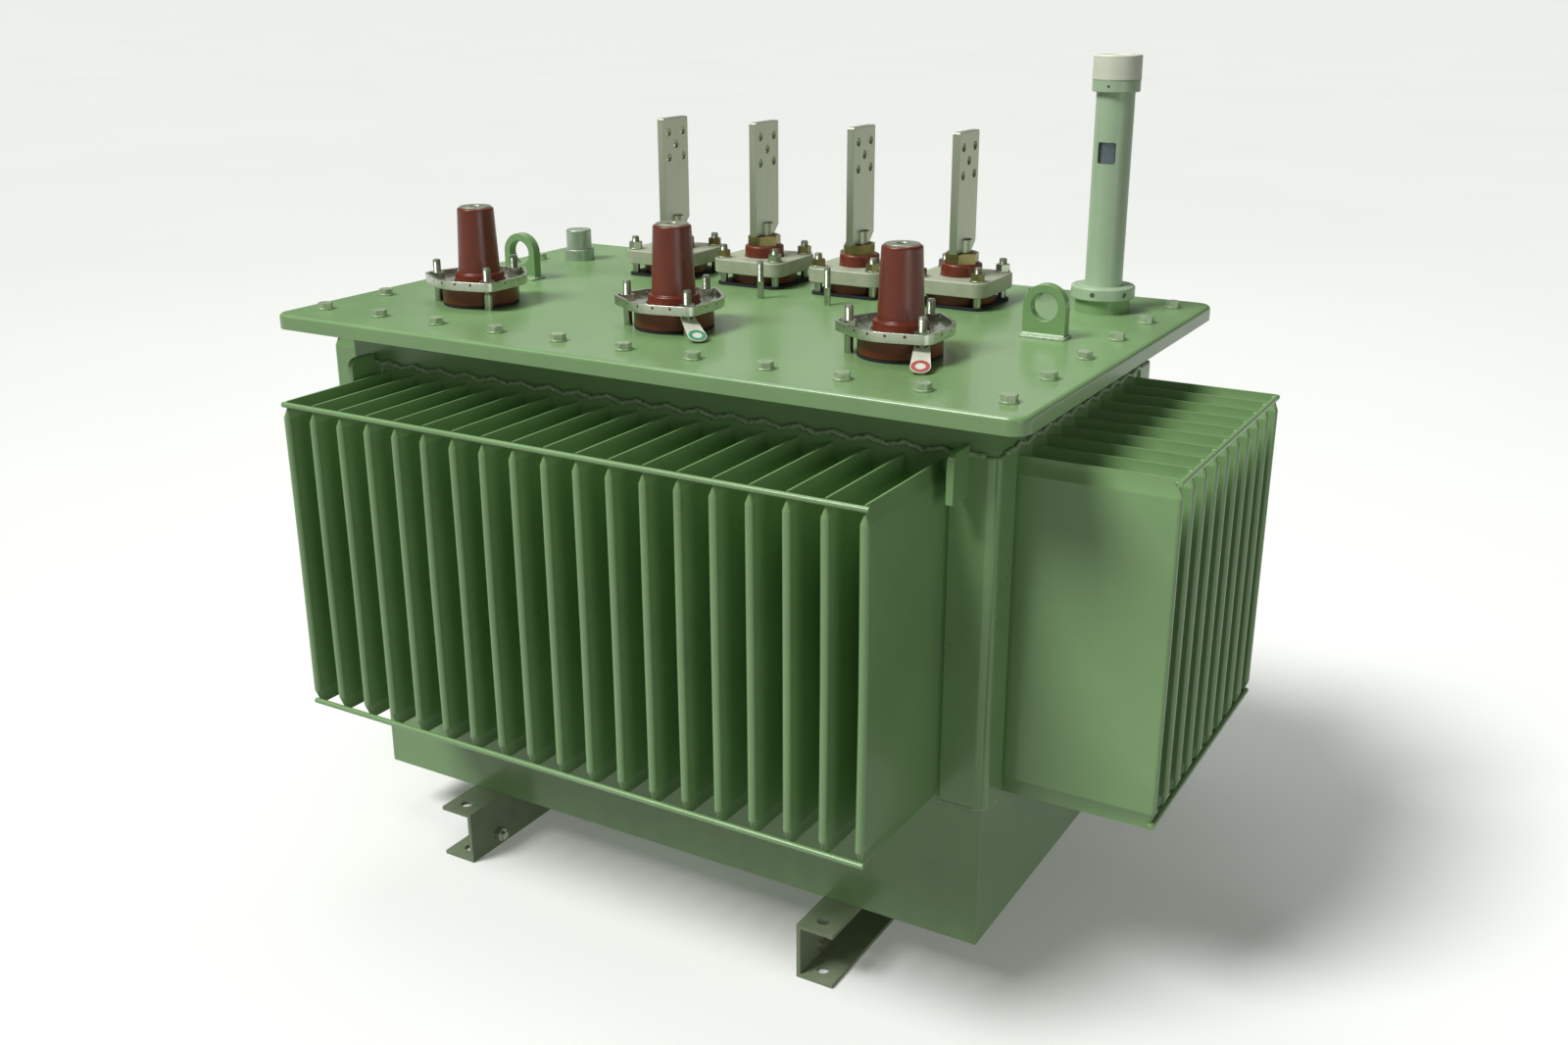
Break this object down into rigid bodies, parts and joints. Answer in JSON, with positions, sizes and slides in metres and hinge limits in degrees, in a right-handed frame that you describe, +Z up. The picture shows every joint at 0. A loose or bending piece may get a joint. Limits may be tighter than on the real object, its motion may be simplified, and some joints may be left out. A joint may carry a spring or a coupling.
{
  "type": "distribution transformer",
  "caption": "Oil-filled three-phase distribution transformer: corrugated-fin tank on two channel rails, bolted cover with cone and flat-palm bushings, gauge column and lifting lugs.",
  "frame": {"origin": "on the floor, under the middle of the two base rails", "axes": "+X along the long side towards the gauge column, -Y towards the high-voltage side, +Z up"},
  "size_m": [1.458, 0.989, 1.199],
  "materials": {
    "green_paint": "gloss grey-green enamel",
    "zinc_plated_steel": "bright zinc plating",
    "blank_plate": "brushed, blank",
    "nitrile_rubber": "matt black",
    "cast_resin": "red-brown cast epoxy, semi-gloss",
    "tinned_copper": "tin-plated copper, soft sheen",
    "cast_aluminium": "fine as-cast grain",
    "tag_plastic": "white with a coloured band",
    "moulded_plate": "light grey moulding",
    "brass": "yellow passivated",
    "clear_tube": "clear",
    "indicator_plastic": "dark blue",
    "cap_plastic": "off-white moulding",
    "pressboard": "pressed board",
    "handwheel_iron": "dark enamel",
    "core_steel": "rolled laminations",
    "winding_copper": "enamelled copper"
  },
  "bodies": {
    "tank": {"lower_tank": "green_paint", "tank_rim": "green_paint", "fin_wall_front": "green_paint", "fin_wall_back": "green_paint", "fin_wall_left": "green_paint", "fin_wall_right": "green_paint", "fin_tie_bars": "green_paint", "rail_left": "green_paint", "rail_right": "green_paint", "earth_bolts": "zinc_plated_steel", "lashing_plates": "green_paint", "rating_plate": "blank_plate", "cover_gasket": "nitrile_rubber", "cover": "green_paint", "cover_bolts": "zinc_plated_steel", "cover_nuts": "zinc_plated_steel", "cover_studs": "zinc_plated_steel", "lifting_lugs": "green_paint", "hv_bushing_a": "cast_resin", "hv_bushing_b": "cast_resin", "hv_bushing_c": "cast_resin", "hv_terminals": "tinned_copper", "hv_clamp_ring_a": "cast_aluminium", "hv_clamp_ring_b": "cast_aluminium", "hv_clamp_ring_c": "cast_aluminium", "phase_tags": "tag_plastic", "lv_bushing_n": "cast_resin", "lv_bushing_a": "cast_resin", "lv_bushing_b": "cast_resin", "lv_bushing_c": "cast_resin", "lv_palm_n": "tinned_copper", "lv_palm_a": "tinned_copper", "lv_palm_b": "tinned_copper", "lv_palm_c": "tinned_copper", "lv_clamp_plates": "moulded_plate", "lv_stem_nuts": "brass", "bushing_gaskets": "nitrile_rubber", "bushing_studs": "zinc_plated_steel", "bushing_nuts": "zinc_plated_steel", "column_socket": "green_paint", "column_flange": "green_paint", "column_tube": "green_paint", "column_collar": "green_paint", "sight_glass": "clear_tube", "tap_gland": "zinc_plated_steel", "tap_selector": "pressboard", "drain_valve": "green_paint", "core": "core_steel", "core_clamps": "core_steel", "lv_windings": "winding_copper", "hv_windings": "winding_copper", "coil_rings": "pressboard", "leads": "winding_copper"},
    "cap_seal": {"cap_seal": "nitrile_rubber"},
    "filler_cap": {"filler_cap": "cap_plastic"},
    "level_float": {"level_float": "indicator_plastic"},
    "tap_cap": {"tap_cap": "zinc_plated_steel"},
    "tap_spindle": {"tap_spindle": "brass"},
    "drain_gate": {"drain_gate": "brass"},
    "drain_handwheel": {"drain_handwheel": "handwheel_iron"}
  },
  "joints": [
    {"name": "filler_cap_rise", "type": "slide", "parent": "tank", "child": "cap_seal", "axis": [0, 0, 1], "range_m": [0, 0.0121]},
    {"name": "filler_cap_turn", "type": "hinge", "parent": "cap_seal", "child": "filler_cap", "pos_m": [0.458, 0.245, 1.18], "axis": [0, 0, 1], "range_deg": [0, 1080]},
    {"name": "oil_level", "type": "slide", "parent": "tank", "child": "level_float", "axis": [0, 0, 1], "range_m": [-0.028, 0.003]},
    {"name": "tap_cap_lift", "type": "slide", "parent": "tank", "child": "tap_cap", "axis": [0, 0, 1], "range_m": [0, 0.045]},
    {"name": "tap_position", "type": "hinge", "parent": "tank", "child": "tap_spindle", "pos_m": [-0.483, 0.223, 0.839], "axis": [0, 0, 1], "range_deg": [-72, 72]},
    {"name": "drain_handwheel_turn", "type": "hinge", "parent": "tank", "child": "drain_handwheel", "pos_m": [-0.38, 0.3515, 0.134], "axis": [0, 0, 1], "range_deg": [0, 1080]},
    {"name": "drain_gate_rise", "type": "slide", "parent": "tank", "child": "drain_gate", "axis": [0, 0, 1], "range_m": [0, 0.0211]}
  ],
  "couplings": [
    {"joint": "filler_cap_rise", "follows": "filler_cap_turn", "m_per_rad": 0.00063662},
    {"joint": "drain_gate_rise", "follows": "drain_handwheel_turn", "m_per_rad": 0.0011141}
  ]
}
